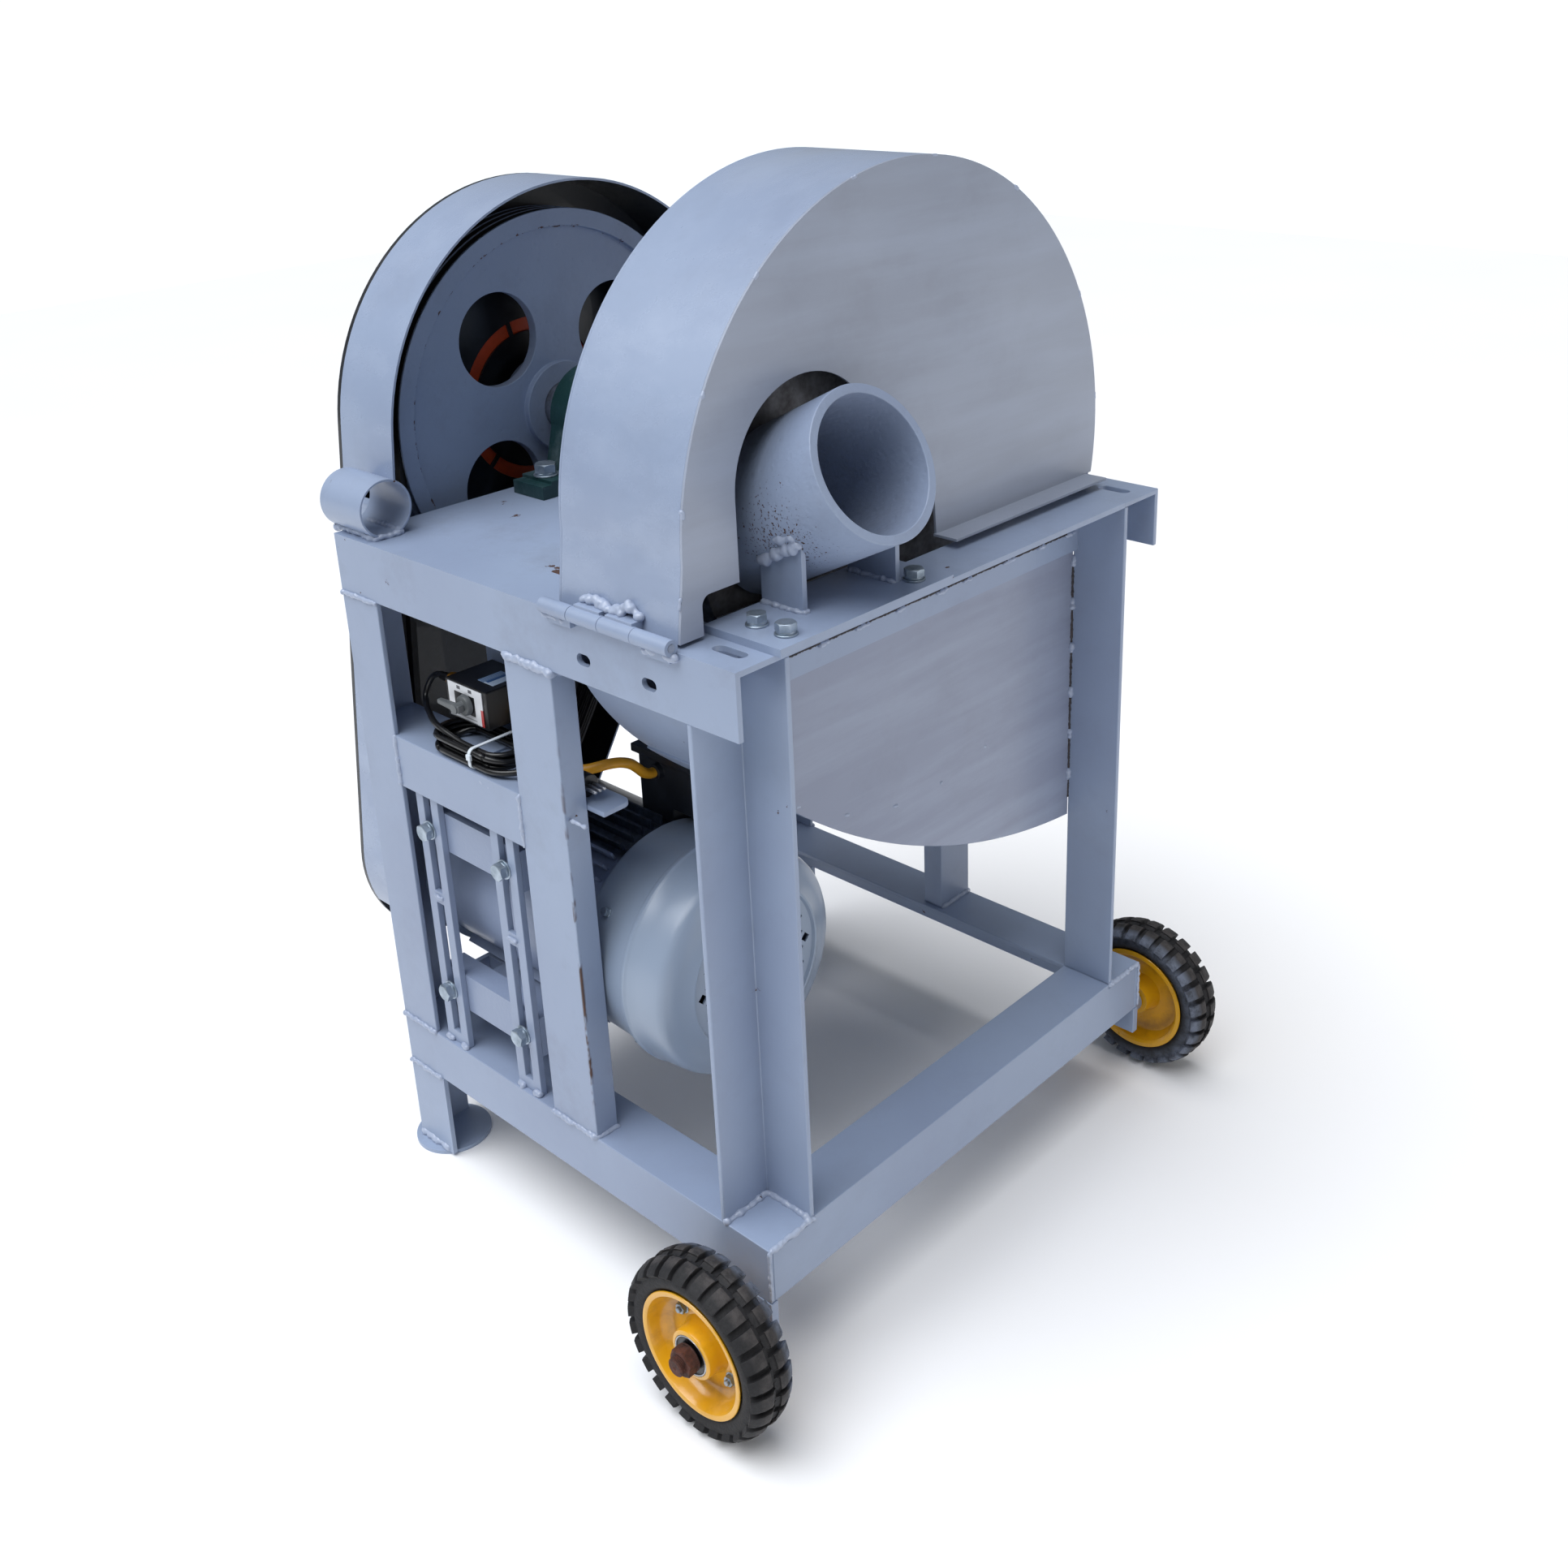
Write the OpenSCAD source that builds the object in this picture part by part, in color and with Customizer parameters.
// Disc wood chipper on an angle-iron frame, driven by an electric motor through V-belts.
// The frame stands with its wheels at the front (-Y) and its feet at the back (+Y).

/* [Frame] */
// Width over the side rails
frame_w = 678; // [660:2:700]
// Length over the side rails
frame_l = 638; // [630:2:650]
// Height of the frame top
frame_z = 820; // [815:1:830]
// Height of the top of the bottom rails
base_z = 188; // [180:1:200]
// Leg of the angle iron
leg = 68; // [66:1:70]
// Thickness of the angle iron
iron_t = 6; // [5:0.5:7]

/* [Cutting disc and cover] */
// Height of the disc shaft
shaft_z = 895; // [893:1:897]
// Radius of the disc shaft
shaft_r = 30; // [25:1:32]
// Radius of the cutting disc
disc_r = 248; // [235:1:255]
// Thickness of the cutting disc
disc_t = 22; // [18:1:25]
// Outer radius of the disc cover
cover_r = 322.4; // [315:0.2:325]
// Thickness of the sheet metal
sheet_t = 3; // [2:0.5:4]

/* [Feed tube] */
// Outer radius of the feed tube
feed_r = 76.8; // [70:0.2:78]
// Wall of the feed tube
feed_wall = 9.5; // [6:0.5:11]
// Rise of the feed tube towards its mouth, in degrees
feed_tilt = 26.9; // [25:0.1:29]

/* [Drive] */
// Outer radius of the big pulley
pulley_r = 238; // [230:1:240]
// Outer radius of the motor pulley
motor_pulley_r = 97; // [90:1:100]
// Width of both pulleys
pulley_w = 50; // [50:1:54]
// Outer radius of the belt guard around the big pulley
guard_r = 274.8; // [268:0.2:276]
// Radius of the motor shaft
motor_shaft_r = 19; // [16:1:19]
// Height of the motor shaft
motor_z = 372; // [365:1:380]

/* [Wheels] */
// Radius of the wheels
wheel_r = 100; // [90:1:100]
// Radius of the axle
axle_r = 10; // [8:1:12]
// Distance from the middle of the object to the middle of each wheel
wheel_x = 402; // [395:1:405]

/* [Hidden] */
$fn = 64;
half_w = frame_w / 2;
half_l = frame_l / 2;
in_x = half_w - leg;                    // inner edge of the side rails
in_y = half_l - leg;                    // inner edge of the end rails
rail_foot = frame_z - leg;              // lower edge of the top rails
base_foot = base_z - leg;               // lower edge of the bottom rails
under = frame_z - iron_t;               // underside of the top rails' flange
run = 0.05;                             // radial clearance of a running fit
eps = 1;                                // how far a cutter stands past what it cuts

plate_t = 10;                           // plate under the pillow blocks
plate_rear = 298;
plate_front = -71;
post_d = 30;                            // middle posts, across the frame
post_wall = 3;
shelf_z = 591;

housing_top = 760;
housing_front = -251;
housing_rear = plate_front;
housing_t = 4;
scroll_r = 350;                         // scroll around the disc
scroll_far_r = 886;                     // scroll towards the outlet
scroll_far = [361, 1288];
outlet_x = in_x;

cover_front = -242;
cover_rear = -70;
cover_foot = frame_z + 4;
cover_flare = 9.6;                      // how far the left side leans out at its foot
cover_lip_z = 832;
shaft_room = 22;                        // room round the shaft as the cover swings
hinge_x = -345;
hinge_z = 826;
hinge_r = 8;
hinge_pin_r = 4;
knuckle_gap = 0.5;
knuckles = [-245, -196, -150, -105, -62];

disc_front = -180;
disc_rear = disc_front + disc_t;
knife_r = [90, 235];
knife_w = 50;
knife_out = 3;                          // how far a knife stands out of the disc
knife_in = 8;
chip_slot = 20;
paddle_rear = -90;

mouth = [-153, -322, 965];              // middle of the feed tube's mouth
feed_cut = -186;                        // the tube ends here, close to the knives
feed_plate_top = frame_z + 8;
feed_bolts_at = [[-260, -268], [-260, -305], [-80, -268], [-80, -305]];

block_at = [-22, 250];                  // pillow blocks along the shaft
block_bolt_x = 92;

pulley_front = 321;
pulley_rear = pulley_front + pulley_w;
groove_pitch = 15;
groove_top = 13;
groove_depth = 12;
groove_slope = tan(19);
belt_layers = [0.5, 4, 7, 10];          // depths below the pulley rim where the belt narrows
belt_gap = 0.4;                         // clearance of a belt in its groove
web_hole_r = 56;
web_hole_at = 126;
guard_front = 281.6;
guard_step = half_l;
guard_rear = 390;
guard_back_t = 6;
guard_small_r = 148;
vent_r = [86, 103];

motor_x = -179;
motor_foot_x = -325;
motor_foot_dz = 108;
motor_foot_t = 28;                      // a motor foot with its packing plate
motor_bolts_y = [73, 213];
motor_core_r = 118;
motor_bore_r = 72;
motor_fin_r = 129;
motor_front = -8;
motor_back = 274;
motor_bolt_r = 6;
slot_half = 7;
bar_w = 14;
bar_t = 8;

wheel_y = -290;
axle_end = 448;
rim_r = 66;
rim_flange_r = 70.7;
foot_at = [-307, 295];
socket_x = 310;
socket_r = 33;
socket_wall = 2.5;
socket_y = [252, 332];
socket_room = 0.6;                      // clearance of the belt guard round the handle tube

// Middle of the motor shaft and of the disc shaft, looking along the shafts.
drive = [motor_x, motor_z];
disc_c = [0, shaft_z];

// Mains lead: from the switch gland down to the hank, and from the hank to its plug.
lead_r = 3.5;
lead_upper = [[-285, 206, 655], [-285, 214, 655], [-286, 222, 652], [-288, 230, 646],
    [-291, 235, 638], [-294, 237, 629], [-298, 236, 620], [-302, 231, 612],
    [-306, 222, 607], [-309, 208, 604.5], [-309, 195.1, 604.5]];
lead_lower = [[-309, 59.9, 604.5], [-309, 54, 604.5], [-306, 46, 604], [-301, 38, 604],
    [-297, 31, 604], [-295, 26, 604], [-295, 21.5, 604]];
hank_z = [594, 615];
hank_y = [60, 195];
hank_x = -309;
hank_w = 56;

// Motor cable: from the terminal box over the motor to the switch box.
cable_r = 6;
cable_route = [[-163.1, 11, 551], [-165.5, 11, 551], [-170, 10, 554], [-180, 7, 564], [-190, 4, 576],
    [-202, 3, 586], [-215, 5, 590], [-228, 11, 587], [-238, 19, 580], [-246, 30, 575],
    [-251, 44, 576], [-254, 58, 583], [-256, 72, 594], [-258, 84, 609], [-260, 93, 625],
    [-261, 101, 638], [-262, 107, 643.5], [-262, 112.5, 645],
    [-262, 114.9, 645]];

lever_at = [150, 646];

function unit(v) = v / norm(v);
function point_on(c, r, a) = [c[0] + r * cos(a), c[1] + r * sin(a)];

// Angles of the two outer tangents' normals, for a belt or guard round both shafts.
function tangent_angle(side, r1, r2) =
    atan2(disc_c[1] - drive[1], disc_c[0] - drive[0])
    + side * acos((r2 - r1) / norm(disc_c - drive));

module slab(y0, y1) {
    translate([0, y1, 0]) rotate([90, 0, 0]) linear_extrude(y1 - y0) children();
}

module box(lo, hi) {
    translate(lo) cube(hi - lo);
}

module both_sides() {
    children();
    mirror([1, 0, 0]) children();
}

module l_profile() {
    polygon([[0, 0], [leg, 0], [leg, iron_t], [iron_t, iron_t], [iron_t, leg], [0, leg]]);
}

// Angle iron along +Y: outer corner on the Y axis, one flange down, one flange to +X.
module rail_y(length) {
    rotate([-90, 0, 0]) linear_extrude(length) l_profile();
}

// The same along +X: one flange down, one flange to +Y.
module rail_x(length) {
    mirror([1, -1, 0]) rail_y(length);
}

module tube_y(r, wall, y0, y1) {
    slab(y0, y1) difference() {
        circle(r);
        circle(r - wall);
    }
}

module rod_y(x, z, r, y0, y1) {
    slab(y0, y1) translate([x, z]) circle(r);
}

module rod_x(y, z, r, x0, x1) {
    translate([x0, y, z]) rotate([0, 90, 0]) cylinder(r = r, h = x1 - x0);
}

// A bolt standing on z = 0 with its washer, head up, shank and nut below.
module bolt(shank_r, flat, grip, nut_h) {
    head_r = flat / sqrt(3);
    cylinder(r = flat * 0.62, h = 2.5);
    translate([0, 0, 2.5]) cylinder(r = head_r, h = shank_r * 1.3, $fn = 6);
    translate([0, 0, -grip - nut_h - 4]) cylinder(r = shank_r, h = grip + nut_h + 4 + 3);
    translate([0, 0, -grip - nut_h]) cylinder(r = head_r, h = nut_h, $fn = 6);
}

// Sweeps a round tube through the points of a route.
function direction_at(p, i) =
    unit(p[min(i + 1, len(p) - 1)] - p[max(i - 1, 0)]);
function side_at(p, i) = unit(cross(direction_at(p, i), [0.3, 0.2, 1]));
function ring_at(p, i, r, n) =
    let (d = direction_at(p, i), s = side_at(p, i), u = cross(s, d))
    [for (k = [0:n - 1]) p[i] + r * (cos(k * 360 / n) * s + sin(k * 360 / n) * u)];

module cord_tube(p, r, n) {
    m = len(p);
    sides = [for (i = [0:m - 2], k = [0:n - 1])
        [i * n + k, (i + 1) * n + k, (i + 1) * n + (k + 1) % n, i * n + (k + 1) % n]];
    first = [for (k = [0:n - 1]) k];
    last = [for (k = [0:n - 1]) (m - 1) * n + n - 1 - k];
    polyhedron([for (i = [0:m - 1]) each ring_at(p, i, r, n)], concat(sides, [first], [last]));
}

// Frame ---------------------------------------------------------------------------------

module top_slot() {
    for (s = [-1, 1])
        translate([-307, -280 + s * 13, under - eps]) cylinder(r = 7, h = iron_t + 2 * eps);
    box([-314, -293, under - eps], [-300, -267, frame_z + eps]);
}

module side_slots() {
    for (y = [-203, -109]) {
        for (s = [-1, 1])
            rod_x(y + s * 4, 777.5, 6, -half_w - eps, -half_w + iron_t + eps);
        box([-half_w - eps, y - 4, 771.5], [-half_w + iron_t + eps, y + 4, 783.5]);
    }
}

module left_top_rail() {
    color("lightsteelblue") difference() {
        translate([-half_w, -half_l, frame_z]) rail_y(frame_l);
        top_slot();
        side_slots();
    }
}

module right_top_rail() {
    color("lightsteelblue") mirror([1, 0, 0]) difference() {
        translate([-half_w, -half_l, frame_z]) rail_y(frame_l);
        top_slot();
    }
}

module cross_top_rails() {
    color("lightsteelblue") {
        difference() {
            translate([-in_x, -in_y, frame_z]) mirror([0, 1, 0]) rail_x(2 * in_x);
            for (p = feed_bolts_at)
                translate([p[0], p[1], under - eps]) cylinder(r = 6, h = iron_t + 2 * eps);
        }
        difference() {
            translate([-half_w + iron_t, plate_rear, frame_z - plate_t]) mirror([0, 1, 0])
                rail_x(2 * (half_w - iron_t));
            for (s = [-1, 1])
                translate([s * block_bolt_x, block_at[1], frame_z - plate_t - 2 * iron_t])
                    cylinder(r = 8, h = 3 * iron_t);
        }
    }
}

module bearing_plate() {
    color("lightsteelblue") difference() {
        box([-in_x, plate_front, frame_z - plate_t], [in_x, plate_rear, frame_z]);
        for (s = [-1, 1], y = block_at)
            translate([s * block_bolt_x, y, frame_z - plate_t - eps])
                cylinder(r = 8, h = plate_t + 2 * eps);
    }
}

module front_legs() {
    color("lightsteelblue") both_sides() difference() {
        translate([-in_x, -in_y, base_z]) rotate(180) linear_extrude(under - base_z) l_profile();
        box([-half_w - eps, -half_l, rail_foot], [-half_w + iron_t, -in_y + eps, frame_z]);
    }
}

module rear_legs() {
    color("lightsteelblue") both_sides() difference() {
        translate([-half_w, half_l, base_z]) mirror([0, 1, 0])
            linear_extrude(under - base_z) l_profile();
        box([-half_w - eps, in_y - eps, rail_foot], [-half_w + iron_t, half_l + eps, frame_z]);
    }
}

module post(x0, x1, y0, y1) {
    w = [post_wall, post_wall, 0];
    difference() {
        box([x0, y0, base_z], [x1, y1, rail_foot]);
        box([x0, y0, base_z - eps] + w, [x1, y1, rail_foot + eps] - w);
    }
}

module mid_posts() {
    color("lightsteelblue") {
        post(-half_w, -half_w + post_d, -54, 22);
        post(half_w - 2 * post_d, half_w, -44, -14);
    }
}

module side_bottom_rails() {
    color("lightsteelblue") both_sides()
        translate([-half_w, -half_l, base_z]) rail_y(frame_l);
}

module end_bottom_rail() {
    translate([-in_x, -half_l, base_z]) rail_x(2 * in_x);
    box([-half_w + iron_t, -half_l, base_foot],
        [half_w - iron_t, -half_l + iron_t, base_z - iron_t]);
}

module cross_bottom_rails() {
    color("lightsteelblue") {
        end_bottom_rail();
        mirror([0, 1, 0]) end_bottom_rail();
    }
}

module shelf_rail() {
    color("lightsteelblue") {
        box([-half_w, 22, shelf_z - 64], [-half_w + iron_t, in_y, shelf_z]);
        box([-half_w + iron_t, 22, shelf_z - iron_t], [-in_x, half_l - iron_t, shelf_z]);
        box([-half_w + post_d, -70, shelf_z - iron_t], [-in_x, 22, shelf_z]);
        box([-half_w + post_d, -80, shelf_z - iron_t], [-in_x - 10, -70, shelf_z]);
        translate([-in_x - 10, -70, shelf_z - iron_t]) cylinder(r = 10, h = iron_t);
    }
}

module slotted_pair(y) {
    for (s = [-1, 1])
        box([-half_w + iron_t, y + s * (slot_half + bar_w / 2) - bar_w / 2, base_z],
            [-half_w + iron_t + bar_t, y + s * (slot_half + bar_w / 2) + bar_w / 2,
             shelf_z - iron_t]);
    for (z = [base_z, 382, shelf_z - 40])
        box([-half_w + iron_t, y - slot_half, z],
            [-half_w + iron_t + bar_t - 2, y + slot_half, z + 16]);
}

module motor_slide_rails() {
    color("lightsteelblue") for (y = motor_bolts_y) slotted_pair(y);
}

module feet() {
    color("lightsteelblue") both_sides() {
        translate([foot_at[0], foot_at[1], 0]) cylinder(r = 47.5, h = 5);
        translate([-half_w, half_l, 4]) mirror([0, 1, 0])
            linear_extrude(base_foot - 4) l_profile();
    }
}

module handle_sockets() {
    color("lightsteelblue") both_sides()
        translate([-socket_x, 0, frame_z + socket_r])
            tube_y(socket_r, socket_wall, socket_y[0], socket_y[1]);
}

// Discharge housing ---------------------------------------------------------------------

module scroll_area(inset) {
    touch = scroll_far + (disc_c - scroll_far) * scroll_far_r / norm(disc_c - scroll_far);
    translate(disc_c) circle(scroll_r - inset, $fn = 128);
    intersection() {
        translate(scroll_far) circle(scroll_far_r - inset, $fn = 128);
        polygon([scroll_far, touch + (touch - scroll_far) * 0.1, [-100, 300], [400, 300],
            [400, scroll_far[1]]]);
    }
}

module housing_limit(top) {
    translate([-half_w, 300]) square([half_w + outlet_x, top - 300]);
}

module housing_front_plate() {
    color("lightsteelblue") slab(housing_front, housing_front + housing_t) intersection() {
        scroll_area(0);
        housing_limit(housing_top);
    }
}

module housing_rear_plate() {
    color("lightsteelblue") slab(housing_rear - housing_t, housing_rear) intersection() {
        scroll_area(0);
        translate([-half_w + iron_t, 300])
            square([half_w - iron_t + outlet_x, under - 300]);
    }
}

module housing_scroll() {
    color("lightsteelblue") slab(housing_front + housing_t, housing_rear - housing_t)
        intersection() {
            difference() {
                scroll_area(0);
                scroll_area(sheet_t);
            }
            housing_limit(housing_top);
        }
}

// Disc cover and its hinge --------------------------------------------------------------

module cover_area(inset) {
    r = cover_r - inset;
    intersection() {
        translate(disc_c) circle(r, $fn = 128);
        translate([-r - eps, cover_foot]) square([2 * r + 2 * eps, 500]);
    }
    polygon([[-r, shaft_z], [-r - cover_flare, cover_foot], [0, cover_foot], [0, shaft_z]]);
}

module feed_cutout() {
    translate([-157, 942]) circle(97);
    polygon([[-254, cover_foot - eps], [-254, 942], [-157, 942], [-88, 1011], [29, 890],
        [33, cover_foot - eps]]);
    translate([-302, cover_foot - eps]) square([60, 28]);
    translate([-292, 852]) circle(10);
    translate([-292, 850]) square([50, 12]);
    translate([-302, 840]) square([20, 12]);
}

module cover_front_plate() {
    color("lightsteelblue") {
        slab(cover_front, cover_front + sheet_t) difference() {
            cover_area(0);
            feed_cutout();
            translate([0, cover_foot - eps]) square([400, cover_lip_z - cover_foot + eps]);
        }
        box([31, cover_front - 28, cover_lip_z - sheet_t],
            [306, cover_front + sheet_t, cover_lip_z]);
    }
}

module cover_rear_plate() {
    color("lightsteelblue") slab(cover_rear - sheet_t, cover_rear) difference() {
        cover_area(0);
        translate([4, shaft_z]) circle(shaft_r + shaft_room);
        translate([4 - shaft_r - shaft_room, cover_foot - eps])
            square([2 * (shaft_r + shaft_room), shaft_z - cover_foot + eps]);
    }
}

module cover_band() {
    color("lightsteelblue") slab(cover_front + sheet_t, cover_rear - sheet_t) difference() {
        cover_area(0);
        translate([0, -eps]) cover_area(sheet_t);
        translate([-cover_r + 10, cover_foot - eps]) square([2 * cover_r - 20, 40]);
    }
}

module knuckle(i, bore) {
    difference() {
        rod_y(hinge_x, hinge_z, hinge_r, knuckles[i] + knuckle_gap, knuckles[i + 1]);
        rod_y(hinge_x, hinge_z, bore, knuckles[i] - eps, knuckles[i + 1] + eps);
    }
}

module hinge_knuckles() {
    color("lightsteelblue") for (i = [0, 3]) {
        knuckle(i, hinge_pin_r);
        difference() {
            box([hinge_x, knuckles[i] + 4, 810], [-half_w, knuckles[i + 1] - 4, hinge_z - 6]);
            rod_y(hinge_x, hinge_z, hinge_pin_r, -300, 0);
        }
    }
}

module hinge_pin() {
    color("silver") rod_y(hinge_x, hinge_z, hinge_pin_r, knuckles[0], knuckles[4]);
}

module cover_knuckles() {
    color("lightsteelblue") for (i = [1, 2]) {
        knuckle(i, hinge_pin_r + run);
        difference() {
            box([hinge_x, knuckles[i] + 4, hinge_z], [-331, knuckles[i + 1] - 4, hinge_z + 11]);
            rod_y(hinge_x, hinge_z, hinge_pin_r + run, -300, 0);
            slab(-260, -50) cover_area(0);
        }
    }
}

// Feed tube and its bracket -------------------------------------------------------------

module along_feed() {
    translate(mouth) rotate([90 - feed_tilt, 0, 0]) children();
}

module feed_tube() {
    color("lightsteelblue") intersection() {
        along_feed() translate([0, 0, -260]) difference() {
            cylinder(r = feed_r, h = 260);
            translate([0, 0, -eps]) cylinder(r = feed_r - feed_wall, h = 260 + 2 * eps);
        }
        box([-300, -500, 700], [0, feed_cut, 1200]);
    }
}

module bracket_plate(x, y0, y1) {
    z_mid = mouth[2] - (y1 - mouth[1]) * tan(feed_tilt);
    difference() {
        translate([x - 3, 0, 0]) rotate([90, 0, 90]) linear_extrude(6)
            polygon([[y0, feed_plate_top], [y1, feed_plate_top], [y1, z_mid - 22],
                [y0, z_mid - 22 + (y1 - y0) * tan(feed_tilt)]]);
        along_feed() translate([0, 0, -260]) cylinder(r = feed_r, h = 300);
    }
}

module feed_bracket() {
    color("lightsteelblue") {
        difference() {
            box([-290, -327, frame_z], [-46, -228, feed_plate_top]);
            for (p = feed_bolts_at)
                translate([p[0], p[1], frame_z - eps]) cylinder(r = 6, h = 10);
        }
        bracket_plate(-211, -283, -229);
        bracket_plate(-95, -297, -234);
    }
}

module feed_bolts() {
    color("silver") for (p = feed_bolts_at)
        translate([p[0], p[1], feed_plate_top]) bolt(6, 18, feed_plate_top - under, 9);
}

module bed_knife() {
    color("dimgray") box([-235, -in_y, 792], [-71, feed_cut - 1, 808]);
}

// Shaft and disc ------------------------------------------------------------------------

module pillow_block(y) {
    difference() {
        union() {
            slab(y - 28, y + 28) {
                translate([-106, frame_z]) square([212, 20]);
                for (s = [-1, 1])
                    translate([s * 106 - (s < 0 ? 14 : 0), frame_z]) square([14, 16]);
            }
            slab(y - 24, y + 24) intersection() {
                union() {
                    translate(disc_c) circle(60);
                    polygon([[-78, frame_z], [78, frame_z], [58, shaft_z], [-58, shaft_z]]);
                }
                translate([-100, frame_z]) square([200, 200]);
            }
            rod_y(0, shaft_z, 43, y - 32, y + 32);
        }
        rod_y(0, shaft_z, shaft_r + run, y - 40, y + 40);
        for (s = [-1, 1])
            translate([s * block_bolt_x, y, frame_z - eps]) cylinder(r = 8, h = 40);
    }
}

module pillow_blocks() {
    color("darkslategray") for (y = block_at) pillow_block(y);
}

module pillow_bolts() {
    color("silver") for (s = [-1, 1]) {
        translate([s * block_bolt_x, block_at[0], frame_z + 20]) bolt(8, 24, 20 + plate_t, 12);
        translate([s * block_bolt_x, block_at[1], frame_z + 20])
            bolt(8, 24, 20 + plate_t + iron_t, 12);
    }
}

module shaft() {
    color("gray") rod_y(0, shaft_z, shaft_r, disc_front + 2, pulley_rear - 3);
}

module half_turn_pair() {
    for (a = [0, 180])
        translate([0, 0, shaft_z]) rotate([0, a, 0]) translate([0, 0, -shaft_z]) children();
}

module cutting_disc() {
    color("slategray") difference() {
        slab(disc_front, disc_rear) translate(disc_c) circle(disc_r, $fn = 128);
        rod_y(0, shaft_z, shaft_r, disc_front - eps, disc_rear + eps);
        half_turn_pair() {
            box([knife_r[0], disc_front - eps, shaft_z - knife_w],
                [knife_r[1], disc_front + knife_in, shaft_z]);
            box([knife_r[0], disc_front - eps, shaft_z],
                [knife_r[1], disc_rear + eps, shaft_z + chip_slot]);
        }
    }
}

module knives() {
    color("silver") half_turn_pair()
        box([knife_r[0], disc_front - knife_out, shaft_z - knife_w],
            [knife_r[1], disc_front + knife_in, shaft_z]);
}

module disc_hub() {
    color("gray") difference() {
        union() {
            rod_y(0, shaft_z, 85, disc_rear, disc_rear + 16);
            rod_y(0, shaft_z, 52, disc_rear, disc_rear + 58);
        }
        rod_y(0, shaft_z, shaft_r, disc_rear - eps, disc_rear + 60);
    }
}

module paddles() {
    color("slategray") for (a = [45:90:315])
        translate([0, 0, shaft_z]) rotate([0, a, 0])
            box([100, disc_rear, -4], [disc_r - 3, paddle_rear, 4]);
}

// Pulleys and belts ---------------------------------------------------------------------

function groove(i, y_mid, r) =
    let (y = y_mid + (i - 1) * groove_pitch,
        w = groove_top / 2, b = groove_top / 2 - groove_depth * groove_slope)
    [[r + eps, y - w - eps * groove_slope], [r - groove_depth, y - b],
     [r - groove_depth, y + b], [r + eps, y + w + eps * groove_slope]];

// A solid ring of three grooves about +Y: the profile is drawn as radius and height.
module grooved_ring(r, inner_r) {
    rotate([-90, 0, 0]) rotate_extrude($fn = 128) difference() {
        translate([inner_r, 0]) square([r - inner_r, pulley_w]);
        for (i = [0:2]) polygon(groove(i, pulley_w / 2, r));
    }
}

module big_pulley() {
    color("slategray") difference() {
        union() {
            translate([0, pulley_front, shaft_z]) grooved_ring(pulley_r, pulley_r - 21);
            rod_y(0, shaft_z, pulley_r - 20, pulley_front + 8, pulley_front + 22);
            rod_y(0, shaft_z, 55, pulley_front, pulley_rear);
        }
        rod_y(0, shaft_z, shaft_r, pulley_front - eps, pulley_rear + eps);
        for (a = [41:90:311]) {
            c = point_on(disc_c, web_hole_at, a);
            rod_y(c[0], c[1], web_hole_r, pulley_front - eps, pulley_rear);
        }
    }
}

module motor_pulley() {
    color("slategray") difference() {
        union() {
            translate([motor_x, pulley_front, motor_z])
                grooved_ring(motor_pulley_r, motor_pulley_r - 25);
            rod_y(motor_x, motor_z, motor_pulley_r - 24, pulley_front + 12, pulley_rear - 12);
            rod_y(motor_x, motor_z, 36, pulley_front, pulley_rear);
        }
        rod_y(motor_x, motor_z, motor_shaft_r, pulley_front - eps, pulley_rear + eps);
    }
}

// The outline of a loop round both shafts, drawn a given distance inside its two circles.
module loop_area(r1, r2, inset) {
    left = tangent_angle(1, r1, r2);
    right = tangent_angle(-1, r1, r2);
    translate(disc_c) circle(r1 - inset, $fn = 128);
    translate(drive) circle(r2 - inset, $fn = 128);
    polygon([point_on(disc_c, r1 - inset, left), point_on(drive, r2 - inset, left),
        point_on(drive, r2 - inset, right), point_on(disc_c, r1 - inset, right)]);
}

// A belt in its groove, as layers that narrow with the groove.
module v_belts() {
    color("dimgray") for (i = [-1:1]) {
        y = pulley_front + pulley_w / 2 + i * groove_pitch;
        for (k = [0:len(belt_layers) - 2]) {
            w = groove_top / 2 - belt_layers[k + 1] * groove_slope - belt_gap;
            slab(y - w, y + w) difference() {
                loop_area(pulley_r, motor_pulley_r, belt_layers[k]);
                loop_area(pulley_r, motor_pulley_r, belt_layers[k + 1]);
            }
        }
    }
}

// Belt guard ----------------------------------------------------------------------------

module guard_area(inset) {
    loop_area(guard_r, guard_small_r, inset);
}

module guard_ring(foot) {
    difference() {
        guard_area(0);
        guard_area(sheet_t);
        translate([-half_w, 0]) square([frame_w, foot]);
    }
}

// What the belt guard leaves free for a handle tube in the left socket.
module handle_room() {
    rod_y(-socket_x, frame_z + socket_r, socket_r + socket_room, socket_y[0], guard_rear + eps);
}

module guard_band() {
    color("lightsteelblue") difference() {
        union() {
            slab(guard_step, guard_rear - guard_back_t) guard_ring(315);
            slab(guard_front, guard_step) guard_ring(frame_z);
        }
        handle_room();
    }
}

module guard_back() {
    color("#202428") difference() {
        slab(guard_rear - guard_back_t, guard_rear) difference() {
            guard_area(0);
            difference() {
                translate(disc_c) circle(vent_r[1]);
                translate(disc_c) circle(vent_r[0]);
                for (a = [45, 105, 165])
                    translate(disc_c) rotate(a) square([300, 5], center = true);
            }
        }
        handle_room();
    }
}

// Motor ---------------------------------------------------------------------------------

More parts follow.
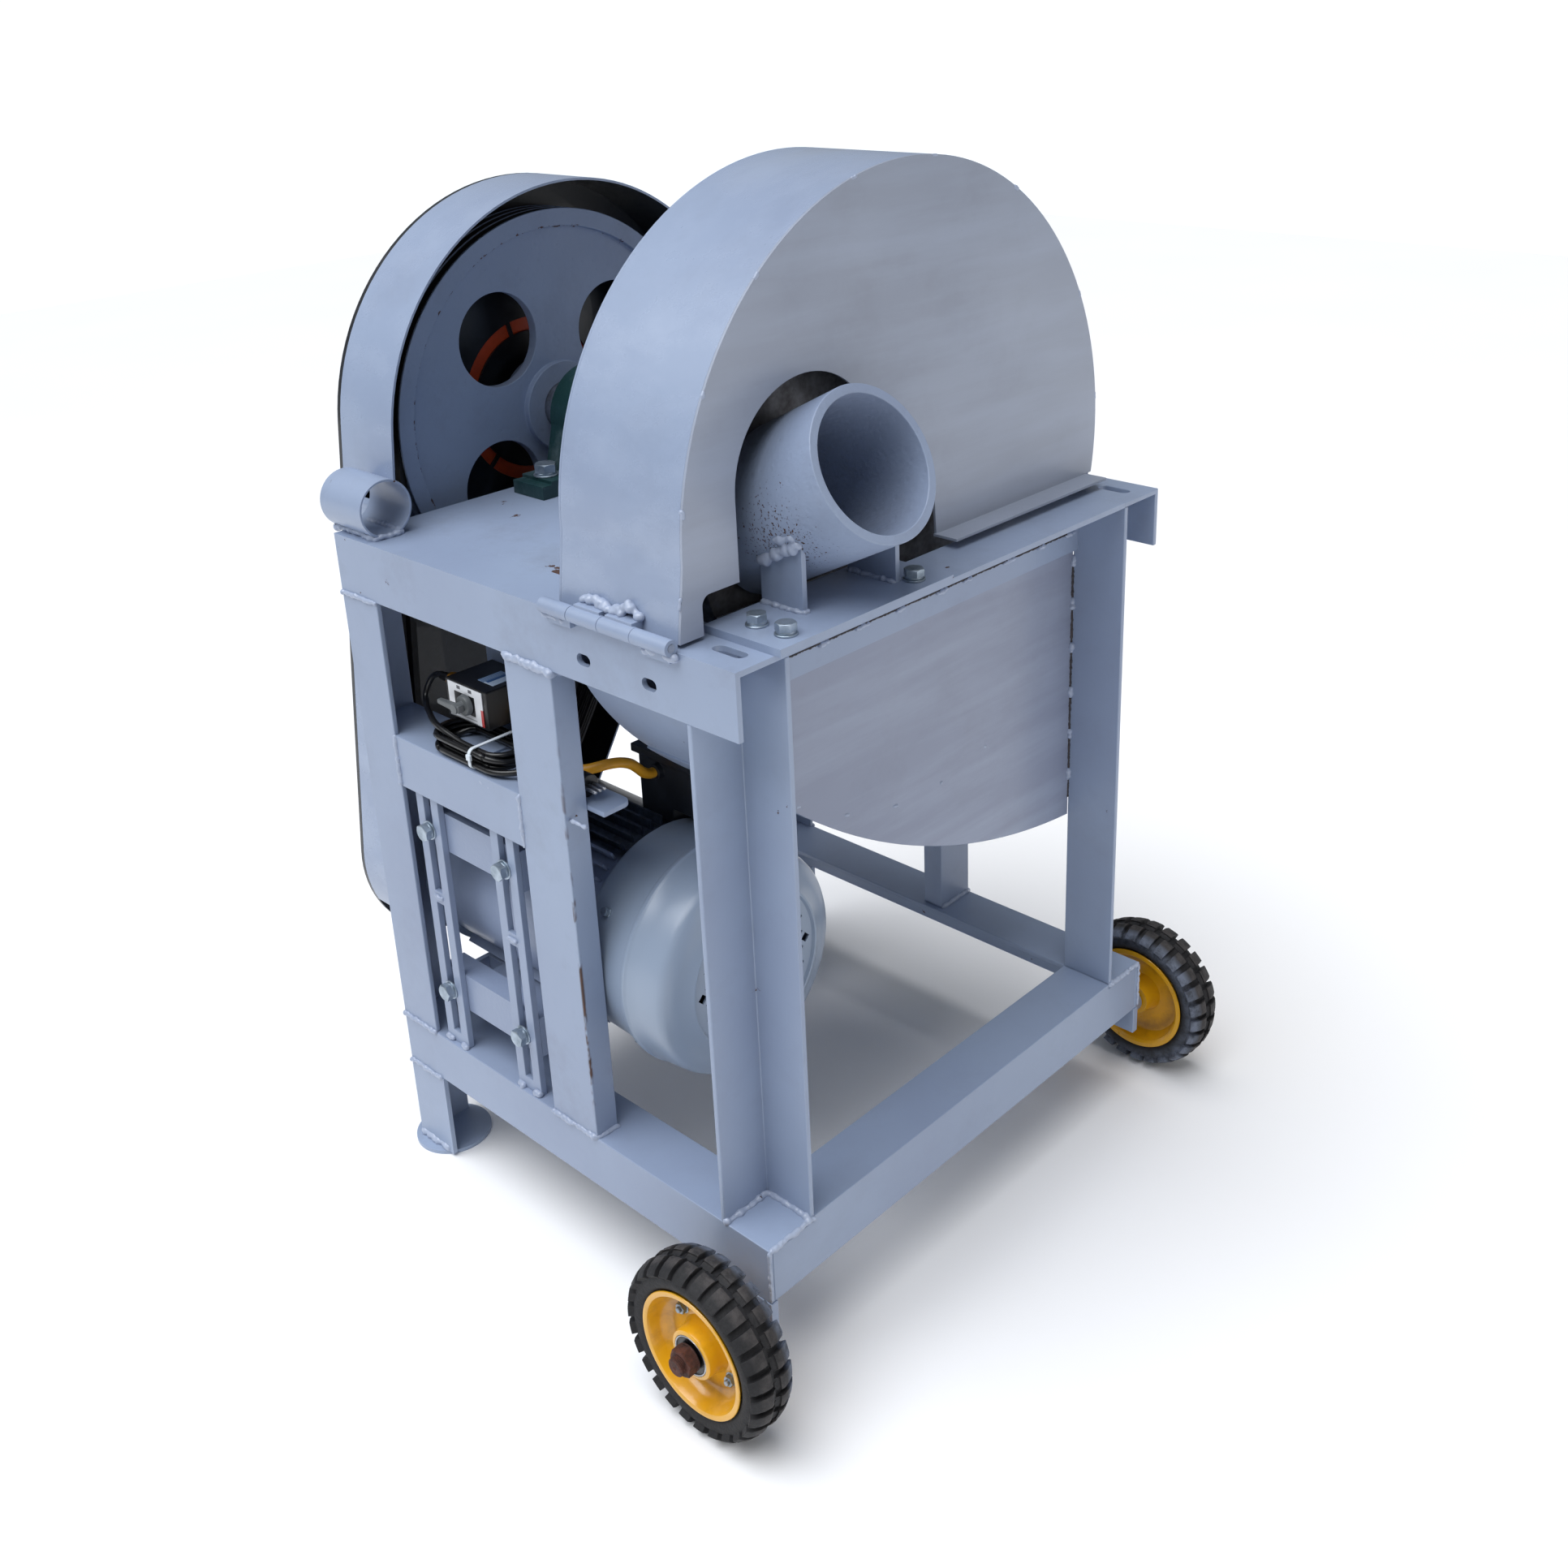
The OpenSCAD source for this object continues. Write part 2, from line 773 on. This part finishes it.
module motor_foot(s) {
    z = motor_z + s * motor_foot_dz;
    difference() {
        union() {
            box([motor_foot_x, 52, z - 25], [motor_foot_x + motor_foot_t, 234, z + 25]);
            box([motor_foot_x + motor_foot_t, 52, z - 8], [motor_x - 40, 234, z + 8]);
        }
        for (y = motor_bolts_y)
            rod_x(y, z, motor_bolt_r, motor_foot_x - eps, motor_foot_x + motor_foot_t + eps);
        for (y = motor_bolts_y)
            box([motor_foot_x + motor_foot_t, y - 14, z - 14],
                [motor_foot_x + motor_foot_t + 30, y + 14, z + 14]);
        rod_y(motor_x, motor_z, motor_core_r - 4, 0, 300);
    }
}

module motor_housing() {
    fins = concat([for (a = [84:7:133]) a], [for (a = [-133:7:-10]) a]);
    color("#2b3038") {
        difference() {
            union() {
                rod_y(motor_x, motor_z, motor_core_r, motor_front, motor_back);
                for (a = fins)
                    translate([motor_x, 0, motor_z]) rotate([0, -a, 0])
                        box([motor_core_r - 4, motor_front + 8, -1.5],
                            [motor_fin_r, motor_back - 8, 1.5]);
                for (s = [-1, 1]) motor_foot(s);
            }
            rod_y(motor_x, motor_z, motor_bore_r, motor_front - eps, motor_back + eps);
        }
    }
}

module motor_end_shields() {
    color("lightgray") difference() {
        union() {
            rod_y(motor_x, motor_z, 122, motor_front - 12, motor_front);
            rod_y(motor_x, motor_z, 126, motor_back, motor_back + 12);
            translate([motor_x, motor_back + 12, motor_z]) rotate([-90, 0, 0])
                cylinder(r1 = 118, r2 = 62, h = 20);
            rod_y(motor_x, motor_z, 62, motor_back + 30, motor_back + 40);
        }
        rod_y(motor_x, motor_z, motor_shaft_r + run, -200, 400);
    }
}

// Outline of the fan cowl as radius and distance forward from its rear edge.
cowl_outer = [[126, 0], [127, 12], [128.2, 42], [133, 70], [135.5, 73], [135.5, 77],
    [133.5, 80], [130, 120],
    [124, 131], [98, 141], [94, 144], [90, 144], [87, 140], [0, 140]];
cowl_inner = [[0, 137], [86, 137], [90, 141], [93, 141], [97, 138], [121, 129], [127, 119],
    [130.5, 78], [130.5, 72], [125.5, 42], [124.5, 12], [123.5, 0]];

module fan_cowl() {
    color("lightsteelblue") difference() {
        translate([motor_x, motor_front - 6, motor_z]) rotate([90, 0, 0])
            rotate_extrude() polygon(concat(cowl_outer, cowl_inner));
        translate([motor_x, motor_front - 146, motor_z]) rotate([0, 45, 0])
            for (i = [-5:5], k = [-5:5])
                if (norm([i, k]) * 14 < 76 && norm([i, k]) * 14 > 20)
                    translate([i * 14, 0, k * 14]) cube([9, 20, 9], center = true);
    }
}

cowl_room_r = 137;                      // the terminal box stands clear of the cowl

module terminal_box() {
    color("#25292f") {
        difference() {
            box([-155, -45, 430], [-45, 45, 565]);
            rod_y(motor_x, motor_z, motor_core_r, -100, 100);
            rod_y(motor_x, motor_z, cowl_room_r, -100, motor_front);
        }
        box([-161, -51, 565], [-39, 51, 575]);
        rod_x(11, 551, 9, -163, -155);
    }
}

module motor_bolts() {
    color("silver") for (s = [-1, 1], y = motor_bolts_y)
        translate([-half_w + iron_t, y, motor_z + s * motor_foot_dz]) rotate([0, -90, 0])
            rotate(30) bolt(motor_bolt_r, 19, bar_t + motor_foot_t, 9);
}

module motor_shaft() {
    color("gray") {
        rod_y(motor_x, motor_z, motor_shaft_r, -118, 380);
        rod_y(motor_x, motor_z, motor_bore_r - 1.5, 20, 220);
    }
}

module cooling_fan() {
    color("#30343a") difference() {
        union() {
            rod_y(motor_x, motor_z, 32, -108, -60);
            rod_y(motor_x, motor_z, 104, -64, -60);
            for (a = [0:60:300])
                translate([motor_x, 0, motor_z]) rotate([0, a, 0])
                    box([28, -104, -2], [104, -62, 2]);
        }
        rod_y(motor_x, motor_z, motor_shaft_r, -120, -50);
    }
}

// Switch, mains lead and motor cable ----------------------------------------------------

module switch_bracket() {
    color("lightsteelblue") {
        box([-300, 120, shelf_z], [-235, 180, shelf_z + 3]);
        box([-238, 95, shelf_z], [-235, 200, 715]);
    }
}

module switch_box() {
    color("#16181b") box([-303, 115, 622], [-238, 190, 668]);
}

module switch_lever() {
    color("dimgray") {
        rod_x(lever_at[0], lever_at[1], 11, -311, -303.3);
        rod_x(lever_at[0], lever_at[1], 6, -322, -311);
        box([-322, lever_at[0] - 6, lever_at[1] - 4], [-314, lever_at[0] + 34, lever_at[1] + 4]);
    }
}

module switch_gland() {
    color("goldenrod") {
        rod_y(-285, 655, 10, 190, 196);
        rod_y(-285, 655, 7, 196, 206);
    }
}

module mains_lead() {
    color("#101010") {
        cord_tube(lead_upper, lead_r, 10);
        cord_tube(lead_lower, lead_r, 10);
    }
}

module mains_lead_hank() {
    r = hank_w / 2;
    color("#181818") translate([hank_x, 0, hank_z[0]]) linear_extrude(hank_z[1] - hank_z[0]) {
        for (y = [hank_y[0] + r, hank_y[1] - r]) translate([0, y]) circle(r);
        translate([-r, hank_y[0] + r]) square([hank_w, hank_y[1] - hank_y[0] - hank_w]);
    }
}

module cable_tie() {
    r = hank_w / 2;
    t = 1.5;
    color("white") difference() {
        box([hank_x - r - t, 98, hank_z[0] - t], [hank_x + r + t, 103, hank_z[1] + t]);
        box([hank_x - r, 97, hank_z[0]], [hank_x + r, 104, hank_z[1]]);
    }
}

module mains_plug() {
    color("#141414") {
        rod_y(-295, 604, 6, 10, 21);
        rod_y(-295, 604, 12.5, -42, 10);
    }
    color("gold") for (x = [-301, -295, -289]) rod_y(x, 604, 2.2, -60, -42);
}

module motor_cable() {
    color("goldenrod") cord_tube(cable_route, cable_r, 10);
}

// Axle and wheels -----------------------------------------------------------------------

module axle() {
    color("gray") {
        rod_x(wheel_y, wheel_r, axle_r, -axle_end, axle_end);
        both_sides() box([-half_w, -half_l, 84], [-half_w + 10, -262, base_foot]);
        both_sides() rod_x(wheel_y, wheel_r, 15, -375, -half_w);
    }
}

module axle_nuts() {
    color("#6b3a2e") both_sides() difference() {
        rod_x(wheel_y, wheel_r, 16.5, -442, -428, $fn = 6);
        rod_x(wheel_y, wheel_r, axle_r, -450, -420);
    }
}

tyre_outline = [[rim_r, -18], [rim_flange_r, -22], [80, -26], [91, -26], [97, -21],
    [wheel_r, -13], [wheel_r, 13], [97, 21], [91, 26], [80, 26], [rim_flange_r, 22],
    [rim_r, 18]];

module tyre() {
    color("#1c1c1c") translate([-wheel_x, wheel_y, wheel_r]) rotate([0, 90, 0])
        rotate_extrude($fn = 96) polygon(tyre_outline);
}

module rim() {
    color("gold") translate([-wheel_x, wheel_y, wheel_r]) rotate([0, 90, 0]) difference() {
        union() {
            rotate_extrude($fn = 96) polygon([[rim_r - 3, -25], [rim_flange_r, -25],
                [rim_flange_r, -22], [rim_r, -18], [rim_r, 18], [rim_flange_r, 22],
                [rim_flange_r, 25], [rim_r - 3, 25]]);
            translate([0, 0, -3]) cylinder(r = rim_r - 2, h = 6);
            translate([0, 0, -25]) cylinder(r = 21, h = 51);
        }
        translate([0, 0, -40]) cylinder(r = axle_r + run, h = 80);
    }
}

module left_tyre() { tyre(); }
module left_rim() { rim(); }
module right_tyre() { mirror([1, 0, 0]) tyre(); }
module right_rim() { mirror([1, 0, 0]) rim(); }

left_top_rail();
right_top_rail();
cross_top_rails();
bearing_plate();
front_legs();
rear_legs();
mid_posts();
side_bottom_rails();
cross_bottom_rails();
shelf_rail();
motor_slide_rails();
feet();
handle_sockets();
housing_front_plate();
housing_rear_plate();
housing_scroll();
cover_front_plate();
cover_rear_plate();
cover_band();
hinge_knuckles();
hinge_pin();
cover_knuckles();
feed_tube();
feed_bracket();
feed_bolts();
bed_knife();
pillow_blocks();
pillow_bolts();
shaft();
cutting_disc();
knives();
disc_hub();
paddles();
big_pulley();
motor_pulley();
v_belts();
guard_band();
guard_back();
motor_housing();
motor_end_shields();
fan_cowl();
terminal_box();
motor_bolts();
motor_shaft();
cooling_fan();
switch_bracket();
switch_box();
switch_lever();
switch_gland();
mains_lead();
mains_lead_hank();
cable_tie();
mains_plug();
motor_cable();
axle();
axle_nuts();
left_tyre();
left_rim();
right_tyre();
right_rim();
